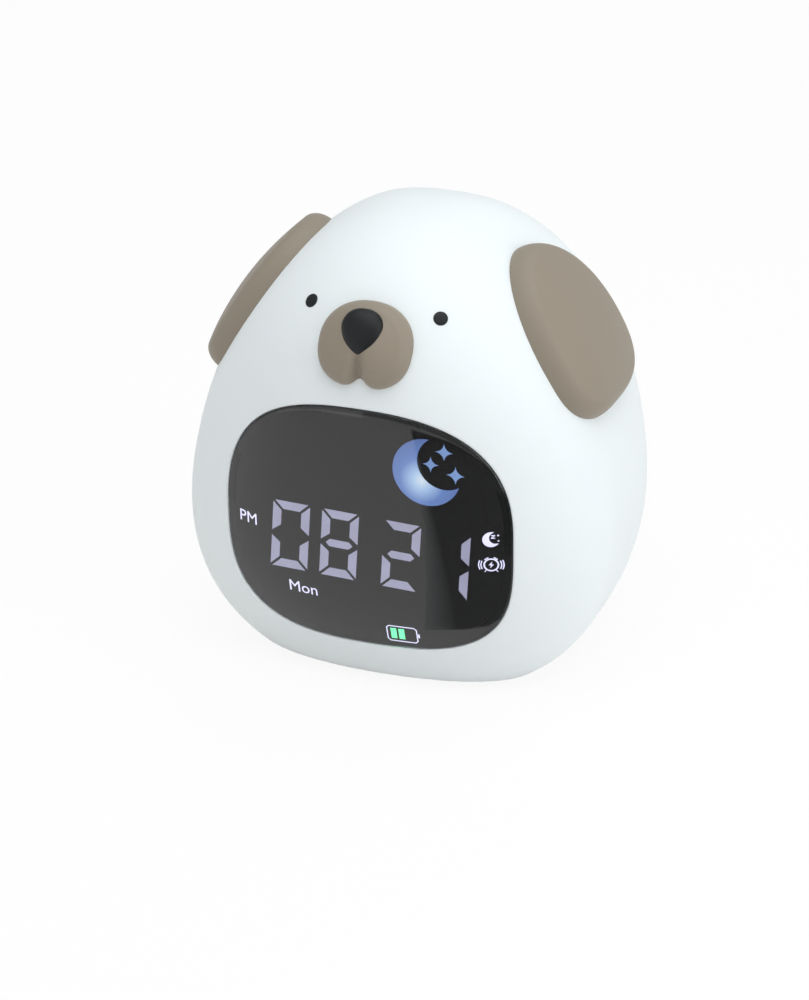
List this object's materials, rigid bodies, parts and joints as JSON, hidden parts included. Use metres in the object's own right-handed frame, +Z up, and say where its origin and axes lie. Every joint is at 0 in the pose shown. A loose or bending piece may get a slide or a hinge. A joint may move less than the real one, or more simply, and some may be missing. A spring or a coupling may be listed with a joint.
{
  "type": "kids alarm clock with night light",
  "caption": "Egg-shaped silicone puppy alarm clock with a curved dark display, a night light inside and a button panel at the back.",
  "frame": {"origin": "middle of the resting face under the base", "axes": "+Z up, -Y towards the face and display, +X to the viewer's right when facing the clock"},
  "size_m": [0.1162, 0.1013, 0.119],
  "materials": {
    "silicone_white": "soft matte",
    "silicone_taupe": "soft matte",
    "black_gloss": "gloss",
    "smoked_lens": "gloss",
    "foam": "matte",
    "milky_plastic": "satin",
    "white_plastic": "satin",
    "black_plastic": "matte",
    "foot_rubber": "matte",
    "screw_steel": "plain",
    "board_green": "satin",
    "lamp_white": "gloss",
    "digit_glow": "lit",
    "moon_glow": "lit",
    "paper_cone": "matte",
    "magnet_steel": "plain",
    "battery_wrap": "satin",
    "button_grey": "matte",
    "port_steel": "polished"
  },
  "bodies": {
    "clock": {"silicone_cover": "silicone_white", "ear_left": "silicone_taupe", "ear_right": "silicone_taupe", "muzzle": "silicone_taupe", "nose": "black_gloss", "eye_left": "black_gloss", "eye_right": "black_gloss", "display_lens": "smoked_lens", "lens_gasket": "foam", "front_shell": "milky_plastic", "rear_shell": "milky_plastic", "base_plate": "white_plastic", "foot_pads": "foot_rubber", "base_screws": "screw_steel", "speaker_basket": "black_plastic", "speaker_cone": "paper_cone", "speaker_magnet": "magnet_steel", "inner_frame": "white_plastic", "night_light_board": "board_green", "night_light_leds": "lamp_white", "main_board": "board_green", "board_chips": "black_plastic", "battery_pad": "foam", "battery_cell": "battery_wrap", "digit_segments": "digit_glow", "star_windows": "moon_glow", "moon_window": "moon_glow", "display_face": "black_plastic", "display_light_box": "black_plastic", "display_board": "board_green", "display_leds": "lamp_white", "control_panel": "white_plastic", "control_board": "board_green", "tactile_switches": "black_plastic", "usb_c_socket": "port_steel"},
    "mode": {"button_mode": "button_grey"},
    "minus": {"button_minus": "button_grey"},
    "light": {"button_light": "button_grey"},
    "plus": {"button_plus": "button_grey"},
    "alarm": {"button_alarm": "button_grey"}
  },
  "joints": [
    {"name": "mode_press", "type": "slide", "parent": "clock", "child": "mode", "axis": [0, -1, 0], "range_m": [0, 0.0006], "stiffness_N_per_m": 800},
    {"name": "minus_press", "type": "slide", "parent": "clock", "child": "minus", "axis": [0, -1, 0], "range_m": [0, 0.0006], "stiffness_N_per_m": 800},
    {"name": "light_press", "type": "slide", "parent": "clock", "child": "light", "axis": [0, -1, 0], "range_m": [0, 0.0006], "stiffness_N_per_m": 800},
    {"name": "plus_press", "type": "slide", "parent": "clock", "child": "plus", "axis": [0, -1, 0], "range_m": [0, 0.0006], "stiffness_N_per_m": 800},
    {"name": "alarm_press", "type": "slide", "parent": "clock", "child": "alarm", "axis": [0, -1, 0], "range_m": [0, 0.0006], "stiffness_N_per_m": 800}
  ]
}
